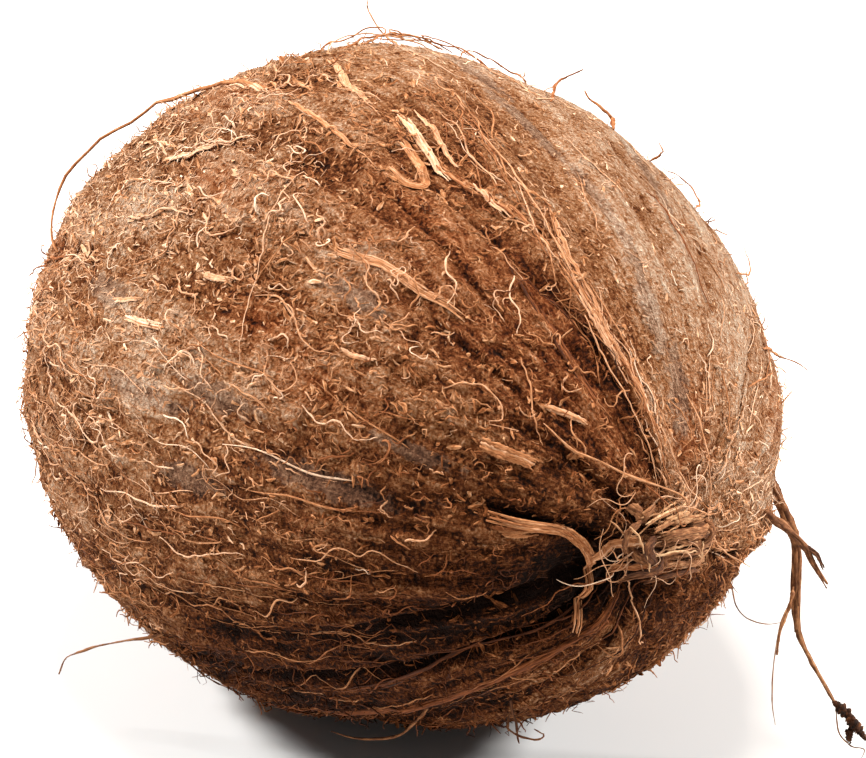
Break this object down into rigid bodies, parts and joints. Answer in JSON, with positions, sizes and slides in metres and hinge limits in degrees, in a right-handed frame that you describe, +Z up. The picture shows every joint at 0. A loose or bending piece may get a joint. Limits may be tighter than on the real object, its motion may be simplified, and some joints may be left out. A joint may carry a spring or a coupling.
{
  "type": "coconut",
  "caption": "Whole dehusked coconut in its matted coat of coir fibre, ridged by three keels, lying on its side on a small flat spot with a tuft over its eyes.",
  "frame": {"origin": "middle of the nut's length and width, on the surface that it lies on", "axes": "+X along the nut's long axis towards the eyes and the fibre tuft, +Y across it to the side away from the viewer, +Z up"},
  "size_m": [0.1289, 0.1073, 0.0983],
  "materials": {
    "coconut": "matte"
  },
  "bodies": {
    "root": {"coconut": "coconut"}
  },
  "joints": []
}
